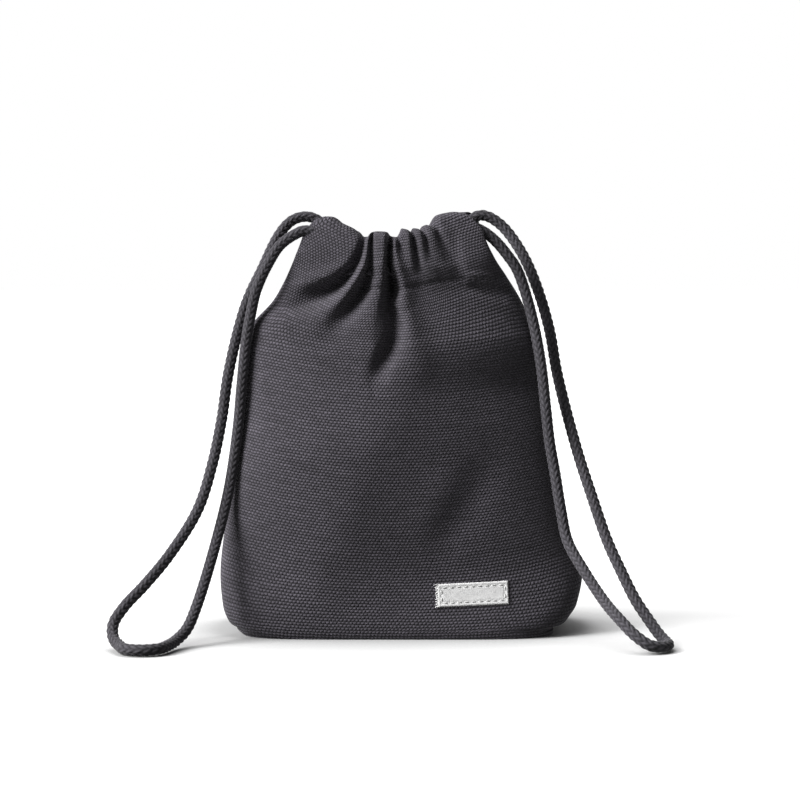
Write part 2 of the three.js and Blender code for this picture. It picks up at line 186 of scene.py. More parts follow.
# Folds: how many times wider a fold is on its left than on its right, then its line from the top down as
# (across, height, relief, width on the right), with valleys as negative relief
FRONT_FOLDS = [
    (1.7, [
        (-13.6, 160, -2.2, 0.8), (-14, 152, -2.6, 0.9), (-15.2, 146, -3.2, 1.1),
        (-16.9, 141.9, -4, 1.3), (-19.4, 138, -4.8, 1.6), (-21.9, 135, -5.2, 1.9),
        (-26.3, 131.2, -6, 2.6), (-32.5, 128.4, -5.6, 3.2), (-38.9, 126.6, -3.6, 3.4),
        (-45, 125, -1, 3.4),
    ]),
    (1, [
        (-20, 141.5, 0.4, 2.4), (-26, 137.6, 1.3, 2.6), (-33, 135, 1.4, 2.8), (-40, 133.2, 0.6, 2.8),
    ]),
    (1, [
        (-12.7, 160, 1.2, 1), (-13, 150, 1.5, 1.1), (-14, 141.9, 1.9, 1.5), (-17.8, 135.4, 2.3, 2.1),
        (-22.9, 128.6, 2.2, 3), (-29, 121, 1.2, 4.2), (-35, 114.6, 0.3, 5.5),
    ]),
    (1, [
        (-11.5, 160, -2.4, 0.7), (-11.7, 148, -2.8, 0.8), (-12.1, 140.5, -3.6, 1.2),
        (-13, 135.5, -4.6, 1.8), (-14.2, 131.6, -5, 2.3), (-17.4, 127, -4.2, 2.8),
        (-22, 122, -2.4, 3.5), (-28, 116.5, -0.6, 4.4),
    ]),
    (2.4, [
        (-6.7, 162, 2.4, 1.3), (-6.8, 145, 2.6, 1.4), (-7, 138, 2.6, 1.6), (-8.4, 131, 2.4, 2.2),
        (-10.6, 122, 2, 3), (-12, 110, 1, 4), (-12.4, 99, 0.1, 5),
    ]),
    (0.8, [
        (-4.3, 162, -6, 0.8), (-4.4, 151, -6.6, 0.9), (-5, 142, -7.2, 1.1), (-4.6, 137.5, -8, 1.6),
        (-3.6, 133, -8.6, 2.2), (-3.8, 129.5, -7.6, 2.2), (-4.4, 126, -5.6, 2.4),
        (-3.2, 121, -5.4, 3.2), (-2.8, 116, -5, 3.4), (-4.4, 110, -4.8, 3.6), (-7.6, 104, -3.4, 3.6),
        (-10, 97, -0.8, 4),
    ]),
    (1, [
        (-2.6, 160, 1.6, 1), (-2.2, 147, 1.6, 1.3), (-0.6, 139, 1.8, 2), (0.8, 132, 2.4, 3.2),
        (1.8, 123, 2.4, 4.2), (4, 113, 2.2, 5.4), (6.5, 104, 1.4, 6.4), (4, 94, 0.2, 6.4),
    ]),
    (1, [
        (2, 136.8, 0.2, 2.6), (8, 137.4, 0.6, 3), (14, 138.2, 0.7, 3), (20, 138.8, 0.5, 2.8),
        (24, 138.6, 0.1, 2.6),
    ]),
    (1, [
        (-1.3, 162, -2.4, 0.7), (-1.2, 150, -1.6, 0.8), (-0.8, 146, -0.4, 0.8),
    ]),
    (2.2, [
        (2.9, 162, 1.7, 0.9), (3.3, 149, 1.7, 1), (4, 142, 1.2, 1.4), (5, 137, 0.3, 2),
    ]),
    (1.2, [
        (4.2, 162, -2.8, 0.7), (4.6, 150, -2.8, 0.8), (5.4, 146, -2.4, 0.9), (6.4, 141, -1.5, 1.2),
        (8, 137, -0.3, 2),
    ]),
    (2.2, [
        (7.2, 162, 1.5, 0.8), (8.2, 150, 1.5, 1), (10.2, 143, 1.2, 1.4), (12.8, 138, 0.4, 2),
    ]),
    (1.2, [
        (8.4, 162, -2.2, 0.7), (9, 152, -2, 0.8), (10, 146, -1.4, 1.1), (11.2, 141, -0.4, 1.4),
    ]),
    (2, [
        (11.3, 162, 1.2, 0.8), (12.8, 152, 1.1, 1.1), (15, 146, 0.5, 1.5),
    ]),
    (1.5, [
        (12.4, 160, -1.4, 1), (14.5, 152, -1.8, 1.5), (17.5, 146, -2, 2.1), (20.5, 141, -1.5, 2.4),
        (23.5, 137, -0.8, 2.4), (27, 135, -0.2, 2.4),
    ]),
    (1, [
        (19.6, 154, -0.2, 2), (20.4, 148, -0.7, 2.2), (21.4, 142, -0.8, 2.4), (22.4, 137, -0.3, 2.6),
    ]),
    (1, [
        (24, 136.6, 0.4, 2.2), (29, 136.9, 1.7, 2.3), (34, 136, 1.9, 2.4), (39, 134.4, 1.4, 2.5),
        (42, 133.2, 0.4, 2.6),
    ]),
    (1, [
        (24.5, 133.4, -0.5, 2), (27.4, 132.9, -1.6, 2.1), (32.6, 131, -2, 2.2), (38.9, 129, -1.2, 2.4),
        (42, 127.6, -0.2, 2.6),
    ]),
    (1, [
        (34, 70, -0.3, 7), (25, 52, -1.8, 8), (17, 40, -1.2, 7), (12, 32, -0.1, 7),
    ]),
    (1, [
        (24, 66, 0.1, 7), (14, 50, 0.6, 8), (8, 38, 0.1, 7),
    ]),
]
# (across, height) of the stitch line that closes the casing
STITCH_LINE = [(-44.6, 136.3), (-30, 134.8), (-14, 132.2), (-4, 131.6), (6, 133), (20, 135.4), (40.9, 136.3)]
STITCH_DENT = 0.6
STITCH_DENT_WIDTH = 0.9
SLACK = 0.5  # height of the cloth's long shallow waves
SLACK_FADE_IN = (15, 40)
# Back pleats: (across at the rim, how far they lean out below, relief, width, height at which they end)
BACK_PLEATS = [
    (-23, -9, -2.2, 2.2, 118), (-19, -7, 1.8, 2.4, 112), (-15, -5, -4, 1.7, 98), (-9, -3, 2.4, 2.8, 102),
    (-2.8, 0, -4.6, 1.6, 92), (3.4, 2.5, 2, 2.6, 106), (10, 6, -4, 1.7, 100), (16, 9, 1.8, 2.8, 114),
    (21.5, 12, -1.8, 2.6, 120),
]

# Cloth grid
COLUMNS = 300
BASE_ROWS = 10
EDGE_ROWS = 26
WALL_ROWS = 190
CASING_ROWS = 44
RIM_ROWS = 12
INNER_ROWS = 24
STEADY_ROWS = 30  # rows over which thread places are averaged
NECK_HEIGHT = 104  # from here up the threads keep their distance from the side seams
LEFT_HOLD = (0.1, 0.36)  # shares across between which that comes in
RIGHT_HOLD = (0.1, 0.45)
LINING_COLUMNS = 90
LINING_ROWS = 60
LINING_BASE_ROWS = 8

# Weave, in millimetres
WEFT_PITCH = 1.11
FLOAT_PITCH = 1.44
ROW_SAG = 0.002  # a weft row rises by this times the square of the distance from the middle
ROW_LEVEL = 156  # rim height at which the rows of the casing meet those of the body
# (across, height) of a row there
CASING_ROW = [(-44, 165), (-14, 152), (-4, 152.6), (10, 155.6), (24, 160.6), (42, 166)]
CASING_ROW_FADE_IN = (104, 137)
WEAVE_SHIFT = 40.0  # sets the pattern of the back apart from the front's

# Label, in millimetres
LABEL_WIDTH = 27
LABEL_HEIGHT = 8.6
LABEL_X = 27.0
LABEL_Z = 16.8
LABEL_TILT = math.radians(2)
LABEL_THICKNESS = 0.5
LABEL_STITCH_INSET = 1.5
LABEL_COLUMNS = 110
LABEL_ROWS = 40
FRAY_THREADS = 22
FRAY_LENGTH = 0.9
FRAY_RADIUS = 0.11

# Stitches, in millimetres
THREAD_RADIUS = 0.2
THREAD_SIDES = 6
CASING_STITCH = 2.4  # from one stitch to the next
CASING_STITCH_FILL = 0.65  # share of that which the stitch covers
CASING_STITCH_END = 2  # from the seam to the line's end
LABEL_STITCH = 2.7
LABEL_STITCH_START = 0.2
LABEL_STITCH_STOP = 0.85
# Along a stitch: share of its length, and lift in thread radii
STITCH_BOW = [(0, -1.2), (0.15, 0.1), (0.35, 0.55), (0.5, 0.65), (0.65, 0.55), (0.85, 0.1), (1, -1.2)]

# Stage
FLOOR_HALF = 40.0
FLOOR_GREY = 0.45
FLOOR_GLOW = 0.72
CONTACT_REACH = 0.06  # how far from the object the floor's glow is dimmed, as a painted contact shadow
FILL_LIGHT = 0.075
# Name, direction it comes from, strength and softness in degrees
SUNS = [
    ("key", (-0.8, -0.26, 0.54), 6.5, 34),
    ("top", (-0.35, -0.3, 0.88), 0.5, 60),
    ("back", (0.1, 0.85, 0.5), 1.2, 60),
]


# Curves

def through(points):
    """A smooth curve through (place, value) points that doesn't overshoot them."""
    place, value = np.array(points, float).T
    step = np.diff(place)
    slope = np.diff(value) / step
    product = slope[:-1] * slope[1:]
    total = slope[:-1] + slope[1:]
    turns = product <= 0
    inner = np.where(turns, 0, 2 * product / np.where(turns, 1, total))
    tangent = np.concatenate([slope[:1], inner, slope[-1:]])

    def curve(at):
        at = np.clip(at, place[0], place[-1])
        i = np.clip(np.searchsorted(place, at) - 1, 0, len(step) - 1)
        t = (at - place[i]) / step[i]
        start = value[i] * (1 + 2 * t) * (1 - t) ** 2 + tangent[i] * step[i] * t * (1 - t) ** 2
        end = value[i + 1] * t * t * (3 - 2 * t) - tangent[i + 1] * step[i] * t * t * (1 - t)
        return start + end

    return curve


def smooth_path(points, step):
    """Points every step along a centripetal Catmull-Rom curve through the given points."""
    points = np.array(points, float)
    ends = (2 * points[0] - points[1], 2 * points[-1] - points[-2])
    padded = np.vstack([ends[0], points, ends[1]])
    knots = np.concatenate([[0], np.cumsum(np.linalg.norm(np.diff(padded, axis=0), axis=1) ** 0.5)])
    fine = []
    for i in range(1, len(padded) - 2):
        t = np.linspace(knots[i], knots[i + 1], 40, endpoint=False)[:, None]

        def between(a, b, ka, kb):
            return a * (kb - t) / (kb - ka) + b * (t - ka) / (kb - ka)

        k0, k1, k2, k3 = knots[i - 1:i + 3]
        a1 = between(padded[i - 1], padded[i], k0, k1)
        a2 = between(padded[i], padded[i + 1], k1, k2)
        a3 = between(padded[i + 1], padded[i + 2], k2, k3)
        b1 = between(a1, a2, k0, k2)
        b2 = between(a2, a3, k1, k3)
        fine.append(between(b1, b2, k1, k2))
    fine = np.vstack(fine + [points[-1:]])
    far = np.concatenate([[0], np.cumsum(np.linalg.norm(np.diff(fine, axis=0), axis=1))])
    places = np.linspace(0, far[-1], max(2, round(far[-1] / step) + 1))
    return np.stack([np.interp(places, far, column) for column in fine.T], -1)


def smoothstep(value, low, high):
    t = np.clip((value - low) / (high - low), 0, 1)
    return t * t * (3 - 2 * t)


# Meshes

def add_mesh(name, points, faces, material, attributes=None):
    """A smooth mesh object from points in metres, with per-point attributes for its material."""
    mesh = bpy.data.meshes.new(name)
    faces = faces.tolist() if isinstance(faces, np.ndarray) else faces
    mesh.from_pydata(np.asarray(points, float).tolist(), [], faces)
    mesh.shade_smooth()
    for key, values in (attributes or {}).items():
        values = np.asarray(values, np.float32)
        kind = "FLOAT_VECTOR" if values.ndim == 2 else "FLOAT"
        data = mesh.attributes.new(key, kind, "POINT").data
        data.foreach_set("vector" if values.ndim == 2 else "value", values.ravel())
    mesh.materials.append(material)
    piece = bpy.data.objects.new(name, mesh)
    bpy.context.scene.collection.objects.link(piece)
    return piece


def grid_faces(rows, columns, around=False):
    """Quads of a grid of points, closed round its columns where asked."""
    last = columns if around else columns - 1
    r, c = np.meshgrid(np.arange(rows - 1), np.arange(last), indexing="ij")
    near = (r * columns + c).ravel()
    side = (r * columns + (c + 1) % columns).ravel()
    return np.stack([near, side, side + columns, near + columns], -1)


def tube_faces(rings, sides, first=0):
    """Faces of a closed tube whose points start at the given number."""
    faces = (grid_faces(rings, sides, around=True) + first).tolist()
    start_cap = list(range(first, first + sides))
    end_cap = [point + (rings - 1) * sides for point in start_cap]
    return [*faces, start_cap[::-1], end_cap]


def add_tube(name, path, radius, sides, material, attributes=None):
    """A closed tube. Radius is one number or one for each ring and side."""
    path = np.asarray(path, float)
    along = np.gradient(path, axis=0)
    along /= np.linalg.norm(along, axis=1)[:, None]
    across = np.zeros_like(path)
    across[0] = np.cross(along[0], (0.3, 1, 0.2))
    for i in range(len(path)):
        before = across[max(0, i - 1)]
        across[i] = before - along[i] * (before @ along[i])
        across[i] /= np.linalg.norm(across[i])
    third = np.cross(along, across)
    angle = 2 * np.pi * np.arange(sides) / sides
    radius = np.broadcast_to(radius, (len(path), sides))[..., None]
    ring = across[:, None] * np.cos(angle)[:, None] + third[:, None] * np.sin(angle)[:, None]
    points = (path[:, None] + radius * ring).reshape(-1, 3)
    return add_mesh(name, points, tube_faces(len(path), sides), material, attributes)


# Materials

class Look:
    """A node material under construction."""

    def __init__(self, name, roughness, sheen=0.0, specular=0.3):
        self.material = bpy.data.materials.new(name)
        self.material.use_nodes = True
        self.tree = self.material.node_tree
        self.shader = self.tree.nodes["Principled BSDF"]
        self.shader.inputs["Roughness"].default_value = roughness
        self.shader.inputs["Specular IOR Level"].default_value = specular
        self.shader.inputs["Sheen Weight"].default_value = sheen

    def node(self, kind, **settings):
        node = self.tree.nodes.new(kind)
        for key, value in settings.items():
            setattr(node, key, value)
        return node

    def give(self, target, value):
        """Sets a socket to a value, or links another socket to it."""
        if isinstance(value, bpy.types.NodeSocket):
            self.tree.links.new(value, target)
        else:
            target.default_value = value

    def math(self, operation, a, b=0.0):
        node = self.node("ShaderNodeMath", operation=operation)
        self.give(node.inputs[0], a)
        self.give(node.inputs[1], b)
        return node.outputs[0]

    def vector(self, operation, a, b):
        node = self.node("ShaderNodeVectorMath", operation=operation)
        self.give(node.inputs[0], a)
        self.give(node.inputs["Scale"] if operation == "SCALE" else node.inputs[1], b)
        return node.outputs[0]

    def attribute(self, name, output):
        return self.node("ShaderNodeAttribute", attribute_name=name).outputs[output]

    def noise(self, place, scale, detail=2.0, output="Fac"):
        node = self.node("ShaderNodeTexNoise")
        self.give(node.inputs["Vector"], place)
        node.inputs["Scale"].default_value = scale
        node.inputs["Detail"].default_value = detail
        return node.outputs[output]

    def ramp(self, value, low, high, from_low=0.0, from_high=1.0):
        node = self.node("ShaderNodeMapRange")
        self.give(node.inputs["Value"], value)
        node.inputs["From Min"].default_value = from_low
        node.inputs["From Max"].default_value = from_high
        node.inputs["To Min"].default_value = low
        node.inputs["To Max"].default_value = high
        return node.outputs[0]

    def finish(self, colour, brightness, height, depth):
        """Links colour times brightness, and a bump of that depth in metres."""
        self.give(self.shader.inputs["Base Color"], self.vector("SCALE", colour, brightness))
        bump = self.node("ShaderNodeBump")
        bump.inputs["Distance"].default_value = depth
        self.give(bump.inputs["Height"], height)
        self.give(self.shader.inputs["Normal"], bump.outputs[0])
        return self.material


def woven_look(name, colour, float_pitch, weft_pitch, depth, roughness, sheen):
    """Plain weave from the cloth attribute: rows of floats, each shifted by half a float, with painted shade
    in the gaps between floats and a painted highlight on their tops.
    """
    look = Look(name, roughness, sheen)
    cloth = look.attribute("cloth", "Vector")
    wander = look.noise(cloth, 0.3, 3, "Color")
    wander = look.vector("SCALE", look.vector("SUBTRACT", wander, (0.5, 0.5, 0.5)), 0.7)
    place = look.node("ShaderNodeSeparateXYZ")
    look.give(place.inputs[0], look.vector("ADD", cloth, wander))
    level = look.math("DIVIDE", place.outputs["Y"], weft_pitch)
    row = look.math("FLOOR", level)
    shift = look.math("MULTIPLY", row, 0.5)
    far = look.math("ADD", look.math("DIVIDE", place.outputs["X"], float_pitch), shift)
    over = look.math("SINE", look.math("MULTIPLY", look.math("SUBTRACT", level, row), math.pi))
    along = look.math("SINE", look.math("MULTIPLY", look.math("FRACT", far), math.pi))
    along = look.ramp(look.math("POWER", along, 0.8), 0.35, 1.0)
    height = look.math("MULTIPLY", look.math("POWER", over, 0.7), along)

    single = look.node("ShaderNodeCombineXYZ")
    look.give(single.inputs[0], look.math("FLOOR", far))
    look.give(single.inputs[1], row)
    each = look.node("ShaderNodeTexWhiteNoise", noise_dimensions="2D")
    look.give(each.inputs["Vector"], single.outputs[0])
    streak = look.node("ShaderNodeCombineXYZ")
    look.give(streak.inputs[0], look.math("MULTIPLY", far, 0.09))
    look.give(streak.inputs[1], look.math("MULTIPLY", row, 0.73))
    slub = look.noise(streak.outputs[0], 1.0, 2)
    fibre = look.noise(cloth, 3.2, 2)
    patches = look.noise(cloth, 0.045, 3)
    # Lighter along the rim's fold, towards the top of the casing and in a band just above the base.
    edge_lightening = look.attribute("edge_lightening", "Fac")
    # Brightness follows the float height: painted shade in the gaps between floats and painted highlight on
    # their tops.
    brightness = look.math("ADD", look.ramp(height, 0.12, 1.25), look.math("MULTIPLY", edge_lightening, 0.15))
    for value, low, high in (
        (each.outputs["Value"], 0.86, 1.14), (look.ramp(slub, 0, 1, 0.3, 0.7), 0.82, 1.18),
        (fibre, 0.75, 1.25), (look.ramp(patches, 0, 1, 0.25, 0.75), 0.9, 1.1),
    ):
        brightness = look.math("MULTIPLY", brightness, look.ramp(value, low, high))
    return look.finish(colour, brightness, look.math("ADD", height, look.ramp(fibre, 0.0, 0.2)), depth)


def cord_look():
    look = Look("braided_cotton", 0.9, sheen=0.12)
    relief = look.attribute("relief", "Fac")
    place = look.node("ShaderNodeTexCoord").outputs["Object"]
    fibre = look.noise(place, 2600, 2)
    patches = look.noise(place, 60, 2)
    # The braid's relief sets brightness: painted shade in the gaps between strands and painted highlight on
    # their crowns.
    brightness = look.math(
        "MULTIPLY", look.ramp(relief, 0.2, 1.2, 0.4, 1.0), look.ramp(patches, 0.82, 1.2, 0.25, 0.75),
    )
    brightness = look.math("ADD", brightness, look.ramp(fibre, -0.2, 0.2))
    return look.finish((0.068, 0.064, 0.074), brightness, fibre, 0.00012)


def label_look():
    look = Look("label_tape", 0.85, sheen=0.1)
    cloth = look.attribute("cloth", "Vector")
    brick = look.node("ShaderNodeTexBrick", offset=0.5, offset_frequency=2)
    look.give(brick.inputs["Vector"], cloth)
    # The mortar colour is painted shade in the gaps between the label's threads.
    for key, value in {
        "Color1": (0.96, 0.955, 0.95, 1), "Color2": (0.91, 0.905, 0.9, 1), "Mortar": (0.8, 0.8, 0.8, 1),
        "Scale": 1.0, "Mortar Size": 0.09, "Mortar Smooth": 1.0, "Bias": 0.0,
        "Brick Width": 0.5, "Row Height": 0.26,
    }.items():
        brick.inputs[key].default_value = value
    patches = look.noise(cloth, 0.3, 3)
    height = look.math("SUBTRACT", 1.0, brick.outputs["Fac"])
    return look.finish(brick.outputs["Color"], look.ramp(patches, 0.93, 1.05, 0.3, 0.7), height, 0.00006)


def thread_look(name, colour):
    look = Look(name, 0.75, sheen=0.1)
    place = look.node("ShaderNodeTexCoord").outputs["Object"]
    twist = look.noise(place, 3000, 2)
    return look.finish(colour, look.ramp(twist, 0.8, 1.2), twist, 0.00008)


# Cloth

left_seam = through(LEFT_SEAM)
right_seam = through(RIGHT_SEAM)
half_depth = through(HALF_DEPTH)
back_squareness = through(BACK_SQUARENESS)
left_squareness = through(LEFT_SQUARENESS)
right_squareness = through(RIGHT_SQUARENESS)
crest = through(CREST)
crest_left_fall = through(CREST_LEFT_FALL)
crest_right_fall = through(CREST_RIGHT_FALL)
seam_gap = through(SEAM_GAP)
rim_height = through(RIM)
back_rim_height = through(BACK_RIM)
casing_row = through(CASING_ROW)
stitch_line = through(STITCH_LINE)


def section(side, s, z):
    """Share of the depth at a place across: 1 in the middle, 0 at the seams."""
    front = np.where(s < 0, left_squareness(z), right_squareness(z))
    power = front if side == FRONT else back_squareness(z)
    return np.maximum(0, 1 - np.abs(s) ** power) ** (1 / power)


def shares_across(columns):
    """Places from the left seam, -1, to the right seam, 1, closer together near the seams."""
    return np.sin(np.pi * (np.linspace(0, 1, columns + 1) - 0.5))


def crest_fall(side, x, z):
    """How far the front's cloth lies behind its crest."""
    if side == BACK:
        return 0 * x

    def beyond(far):
        return (far + np.sqrt(far * far + CREST_ROUND ** 2) - CREST_ROUND) / 2

    left = crest_left_fall(z) * beyond(crest(z) - x) * (1 - smoothstep(z, *CREST_LEFT_FADE_OUT))
    right = crest_right_fall(z) * beyond(x - crest(z)) * (1 - smoothstep(z, *CREST_RIGHT_FADE_OUT))
    fall = np.maximum(0, left + right) * smoothstep(z, *CREST_FADE_IN)
    return fall + CASING_FALL * np.maximum(0, CASING_FALL_X - x) * smoothstep(z, *CASING_FALL_FADE_IN)


def stroke_relief(x, z, left_share, stroke):
    """Relief of one fold: its own height along its line, fading at its own width on each side."""
    line = smooth_path(stroke, 2.0)
    nearest = np.full(x.shape, np.inf)
    relief = np.zeros(x.shape)
    for (x0, z0, h0, w0), (x1, z1, h1, w1) in zip(line, line[1:]):
        dx, dz = x1 - x0, z1 - z0
        t = np.clip(((x - x0) * dx + (z - z0) * dz) / (dx * dx + dz * dz), 0, 1)
        far = (x - x0 - t * dx) ** 2 + (z - z0 - t * dz) ** 2
        on_left = dx * (z - z0) - dz * (x - x0) < 0
        width = (w0 + t * (w1 - w0)) * np.where(on_left, left_share, 1)
        value = (h0 + t * (h1 - h0)) * np.exp(-far / width ** 2)
        relief = np.where(far < nearest, value, relief)
        nearest = np.minimum(far, nearest)
    return relief


def back_stroke(across, lean, relief, width, low):
    """A back pleat that runs straight down the casing, leans out below it and fades."""
    middle = (STITCH_HEIGHT + low) / 2
    return 1, [
        (across, 164, relief, width),
        (across + 0.1 * lean, STITCH_HEIGHT + 6, relief, width),
        (across + 0.6 * lean, middle, 0.8 * relief, 1.9 * width),
        (across + lean, low, 0.1 * relief, 2.6 * width),
    ]


FOLDS = {FRONT: FRONT_FOLDS, BACK: [back_stroke(*pleat) for pleat in BACK_PLEATS]}


def cloth_relief(side, x, z):
    relief = sum(stroke_relief(x, z, *fold) for fold in FOLDS[side])
    relief = relief - STITCH_DENT * np.exp(-(((z - stitch_line(x)) / STITCH_DENT_WIDTH) ** 2))
    slack = SLACK * np.sin(x / 17 + 1.3 * side + z / 31) * np.sin(z / 23 + 0.7 - x / 47)
    return relief + slack * smoothstep(z, *SLACK_FADE_IN)


def wall(side, s, z):
    """Points of the outer cloth in millimetres. s runs from the left seam, -1, to the right seam, 1."""
    left, right = left_seam(z), right_seam(z)
    x = left + (right - left) * (s + 1) / 2
    lean = CASING_LEAN * np.maximum(0, z - CASING_LEAN_LOW)
    reach = half_depth(z) - crest_fall(side, x, z) - lean
    gap = np.minimum(seam_gap(z), reach - LEAST_REACH)
    depth = gap + (reach - gap) * section(side, s, z)
    relief = cloth_relief(side, x, z) * (1 - np.abs(s) ** SEAM_POWER)
    side_seam = np.exp(-(((depth - gap) / SIDE_SEAM_WIDTH) ** 2)) * (1 - smoothstep(z, *SIDE_SEAM_FADE_OUT))
    base_seam = np.exp(-(((z - BASE_SEAM_HEIGHT) / BASE_SEAM_WIDTH) ** 2))
    base_seam = base_seam * smoothstep(np.abs(s), *BASE_SEAM_ENDS)
    x = x - np.sign(s) * (SIDE_SEAM_PINCH * side_seam + BASE_SEAM_PINCH * base_seam)
    return np.stack([x, side * (depth + relief), z], -1)


def share_across(x, z):
    left, right = left_seam(z), right_seam(z)
    return 2 * (x - left) / (right - left) - 1


def wall_normal(side, s, z):
    """Outward normals of the outer cloth."""
    ds, dz = 0.004, 0.3
    across = wall(side, s + ds, z) - wall(side, s - ds, z)
    up = wall(side, s, z + dz) - wall(side, s, z - dz)
    normal = np.cross(across, up) * -side
    return normal / np.linalg.norm(normal, axis=-1, keepdims=True)


def rim_of(side, s):
    left, right = left_seam(MOUTH_LEVEL), right_seam(MOUTH_LEVEL)
    rim = rim_height if side == FRONT else back_rim_height
    return rim(left + (right - left) * (s + 1) / 2)


def row_level(x, z):
    """Which weft row a point is on, in millimetres above the base."""
    casing = smoothstep(z, *CASING_ROW_FADE_IN)
    body = ROW_SAG * x * x * (0.3 + 0.7 * smoothstep(z, 0, 40))
    return z - (1 - casing) * body + casing * (ROW_LEVEL - casing_row(x))


def cloth_grid(side):
    """Rows of points from the seam under the base, up the outside, over the rim and down in the casing."""
    s = shares_across(COLUMNS)
    top = rim_of(side, s) - RIM_ROUND
    rows, level, edge_lightening = [], [], []

    # The last value of add makes the cloth lighter: in a band just above the base, towards the top of the
    # casing and most over the rim's fold.
    def add(points, row, lightening):
        rows.append(points)
        level.append(row)
        edge_lightening.append(np.broadcast_to(lightening, s.shape))

    edge = wall(side, s, np.zeros_like(s))
    start = row_level(edge[:, 0], edge[:, 2])
    for spread in np.linspace(0, 1, BASE_ROWS, endpoint=False):
        points = edge.copy()
        points[:, 0] *= 1 - BASE_SEAM_SHORT * (1 - spread)
        points[:, 1] = side * np.maximum(LEAST_DEPTH, spread * np.abs(edge[:, 1]))
        add(points, start - (1 - spread) * np.abs(edge[:, 1]), 0)
    heights = BASE_EDGE * (1 - np.cos(np.pi / 2 * np.arange(EDGE_ROWS) / EDGE_ROWS))
    heights = np.concatenate([heights, np.linspace(BASE_EDGE, STITCH_HEIGHT, WALL_ROWS, endpoint=False)])
    for z in heights:
        points = wall(side, s, np.full_like(s, z))
        add(points, row_level(points[:, 0], points[:, 2]), 0.3 * np.exp(-((z - 2) / 2.5) ** 2))
    for share in np.linspace(0, 1, CASING_ROWS):
        points = wall(side, s, STITCH_HEIGHT + share * (top - STITCH_HEIGHT))
        add(points, row_level(points[:, 0], points[:, 2]), 0.5 * smoothstep(share, 0.8, 1))

    outer = rows[-1]
    last_level = level[-1]
    middle = (left_seam(MOUTH_LEVEL) + right_seam(MOUTH_LEVEL)) / 2
    half = (right_seam(MOUTH_LEVEL) - left_seam(MOUTH_LEVEL)) / 2
    cut = (half - END_CUT) / half
    inner_y = MOUTH_HALF + 0.3 * cloth_relief(side, outer[:, 0], outer[:, 2])
    for share in np.linspace(0, 1, RIM_ROWS + 1)[1:]:
        angle = np.pi * share
        radius = (np.abs(outer[:, 1]) - inner_y) / 2
        points = outer.copy()
        points[:, 0] = middle + (outer[:, 0] - middle) * (1 + (cut - 1) * share)
        points[:, 1] = side * (inner_y + radius * (1 + np.cos(angle)))
        points[:, 2] = outer[:, 2] + RIM_ROUND * np.sin(angle)
        add(points, last_level + share * np.pi * radius, 1 - 0.5 * share)
    inner = rows[-1]
    last_level = level[-1]
    for share in np.linspace(0, 1, INNER_ROWS + 1)[1:]:
        points = inner.copy()
        points[:, 2] = inner[:, 2] + share * (STITCH_HEIGHT + 0.6 - inner[:, 2])
        rise = 1 - smoothstep(points[:, 2], STITCH_HEIGHT, STITCH_HEIGHT + CASING_RISE)
        room = np.abs(wall(side, s, points[:, 2])[:, 1]) - LINING_INSET
        seam = np.abs(wall(side, s, np.full_like(s, STITCH_HEIGHT))[:, 1]) - LINING_INSET
        depth = np.abs(inner[:, 1]) + rise * (seam - np.abs(inner[:, 1]))
        points[:, 1] = side * np.maximum(0.5, np.minimum(depth, room))
        add(points, last_level + inner[:, 2] - points[:, 2], 0)
    return np.array(rows), np.array(level), np.array(edge_lightening)


def steadied(values):
    """Values averaged over neighbouring rows, so that threads run smoothly from row to row."""
    reach = STEADY_ROWS
    window = np.hanning(2 * reach + 3)[1:-1]
    padded = np.pad(values, ((reach, reach), (0, 0)), mode="edge")
    total = sum(share * padded[i:i + len(values)] for i, share in enumerate(window))
    return total / window.sum()


def add_woven(name, side, rows, along, level, edge_lightening, material):
    """A half of the pouch's cloth. Along and level say where each point lies in the flat weave."""
    cloth = np.stack([along, level, np.full_like(level, WEAVE_SHIFT * side)], -1)
    faces = grid_faces(*level.shape)
    if side == BACK:
        faces = faces[:, ::-1]
    attributes = {"cloth": cloth.reshape(-1, 3), "edge_lightening": edge_lightening.ravel()}
    piece = add_mesh(name, rows.reshape(-1, 3) * MM, faces, material, attributes)
    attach(piece, "pouch")
    return piece


def add_cloth(name, side, material, nodes):
    rows, level, edge_lightening = cloth_grid(side)
    steps = np.linalg.norm(np.diff(rows, axis=1), axis=2)
    along = np.concatenate([np.zeros((len(rows), 1)), np.cumsum(steps, axis=1)], axis=1)
    along = along - along[:, COLUMNS // 2, None]
    s = shares_across(COLUMNS)
    neck_share = (NECK_HEIGHT - BASE_EDGE) / (STITCH_HEIGHT - BASE_EDGE)
    neck = BASE_ROWS + EDGE_ROWS + round(WALL_ROWS * neck_share)
    for seam, share in ((0, smoothstep(-s, *LEFT_HOLD)), (-1, smoothstep(s, *RIGHT_HOLD))):
        along[neck:] -= (along[neck:, seam] - along[neck, seam])[:, None] * share
    piece = add_woven(name, side, rows, steadied(along), level, edge_lightening, material)
    solid = piece.modifiers.new("thickness", "SOLIDIFY")
    solid.thickness = CLOTH_THICKNESS * MM
    solid.offset = -1
    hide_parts(*nodes)


